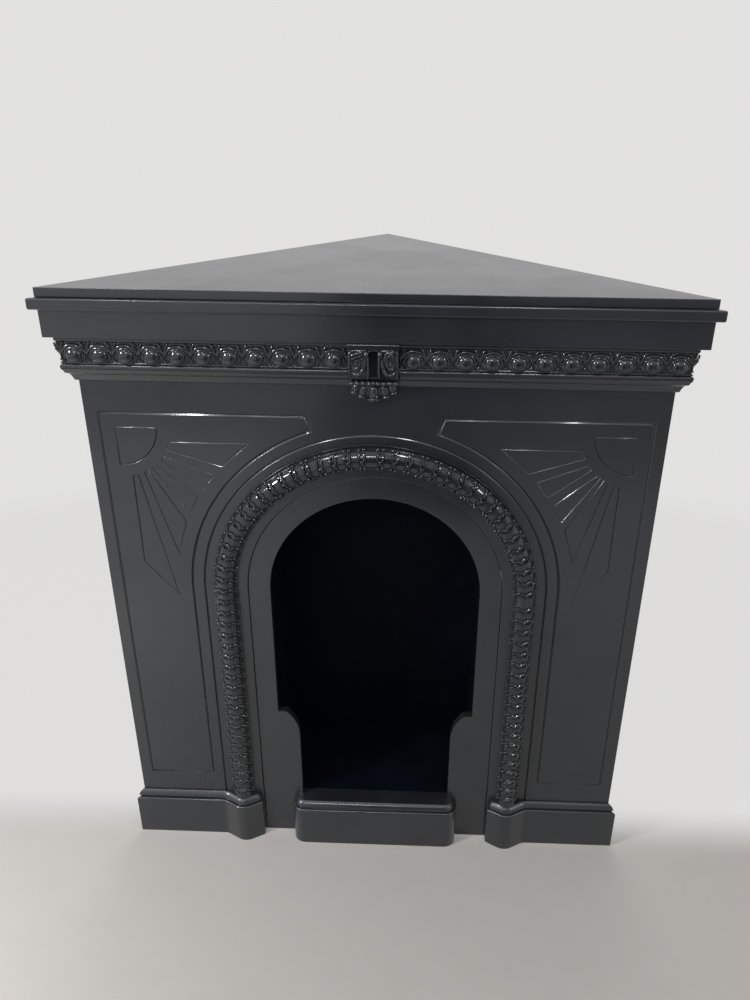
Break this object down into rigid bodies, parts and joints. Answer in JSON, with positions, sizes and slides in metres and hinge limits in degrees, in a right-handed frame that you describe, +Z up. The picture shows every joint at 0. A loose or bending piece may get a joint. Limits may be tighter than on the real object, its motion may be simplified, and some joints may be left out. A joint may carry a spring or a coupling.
{
  "type": "corner fireplace",
  "caption": "Black lacquered corner mantel with a triangular shelf, carved cornice and corbel, banded arch moulding, engraved panels, plinths and an open firebox.",
  "frame": {"origin": "on the floor, under the middle of the overall box", "axes": "+X to the right as seen from the room, +Y back into the corner of the walls, +Z up"},
  "size_m": [1.092, 0.546, 1.2],
  "materials": {
    "black_lacquer": "satin sprayed lacquer on fibreboard, shaded to raw board on the back",
    "cast_ornament": "cast resin ornament under the same satin black lacquer",
    "firebox_paint": "dull black paint",
    "raw_board": "raw fibreboard",
    "softwood": "planed softwood",
    "zinc_steel": "zinc plated"
  },
  "bodies": {
    "root": {"arch_moulding_crown": "cast_ornament", "arch_moulding_leg_left": "cast_ornament", "arch_moulding_leg_right": "cast_ornament", "bed_moulding_left": "black_lacquer", "bed_moulding_right": "black_lacquer", "egg_dart_strip_left": "cast_ornament", "egg_dart_strip_right": "cast_ornament", "fascia_board": "black_lacquer", "fascia_fillet_left": "black_lacquer", "fascia_fillet_right": "black_lacquer", "firebox_back": "firebox_paint", "firebox_floor": "firebox_paint", "firebox_floor_cleat_left": "softwood", "firebox_floor_cleat_right": "softwood", "firebox_side_left": "firebox_paint", "firebox_side_right": "firebox_paint", "firebox_top": "firebox_paint", "frieze_bead_left": "black_lacquer", "frieze_bead_right": "black_lacquer", "frieze_board": "raw_board", "front_panel": "black_lacquer", "front_stile_left": "softwood", "front_stile_right": "softwood", "hearth_block": "black_lacquer", "hearth_block_cap": "black_lacquer", "insert_cleat_crown": "softwood", "insert_cleat_left": "softwood", "insert_cleat_right": "softwood", "insert_panel": "black_lacquer", "keystone_corbel": "cast_ornament", "plinth_cap_left": "black_lacquer", "plinth_cap_right": "black_lacquer", "plinth_left": "black_lacquer", "plinth_right": "black_lacquer", "rail_screw_1_left": "zinc_steel", "rail_screw_1_right": "zinc_steel", "rail_screw_2_left": "zinc_steel", "rail_screw_2_right": "zinc_steel", "rear_corner_post": "softwood", "shelf_bracket_left_1": "zinc_steel", "shelf_bracket_left_2": "zinc_steel", "shelf_bracket_right_1": "zinc_steel", "shelf_bracket_right_2": "zinc_steel", "shelf_centre_batten": "softwood", "shelf_front_batten": "softwood", "shelf_lip_moulding": "black_lacquer", "shelf_screw_1_left": "zinc_steel", "shelf_screw_1_right": "zinc_steel", "shelf_screw_2_left": "zinc_steel", "shelf_screw_2_right": "zinc_steel", "shelf_top_board": "black_lacquer", "wall_rail_bottom_left": "softwood", "wall_rail_bottom_right": "softwood", "wall_rail_middle_left": "softwood", "wall_rail_middle_right": "softwood", "wall_rail_top_left": "softwood", "wall_rail_top_right": "softwood"}
  },
  "joints": []
}
